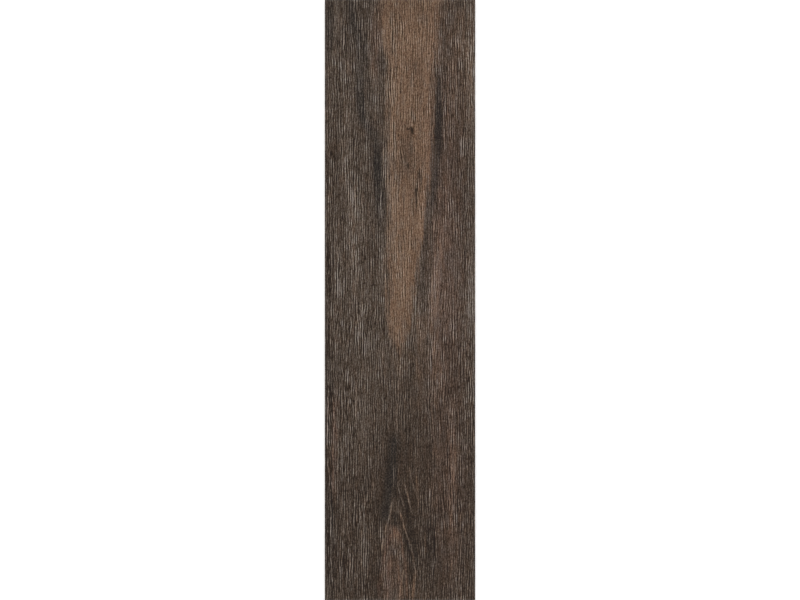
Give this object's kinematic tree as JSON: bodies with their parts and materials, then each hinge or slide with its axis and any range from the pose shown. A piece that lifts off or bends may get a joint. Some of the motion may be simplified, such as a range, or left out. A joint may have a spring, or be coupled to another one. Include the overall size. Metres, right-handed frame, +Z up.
{
  "type": "wood look porcelain plank tile",
  "caption": "Flat rectangular porcelain plank tile with a dark brown wood grain face, fine bevelled edges and a keyed back, laid in adhesive to cover floors and walls.",
  "frame": {"origin": "middle of the bed face, which is the underside that the tile lies on", "axes": "+X across the plank, +Y along its length towards the end where the light streak is widest, +Z up out of the wood face"},
  "size_m": [0.15, 0.6, 0.009],
  "materials": {
    "porcelain": "matt dark brown wood grain print with fine relief on the face, bare grey brown fired body on the edges and back"
  },
  "bodies": {
    "root": {"plank_tile": "porcelain"}
  },
  "joints": []
}
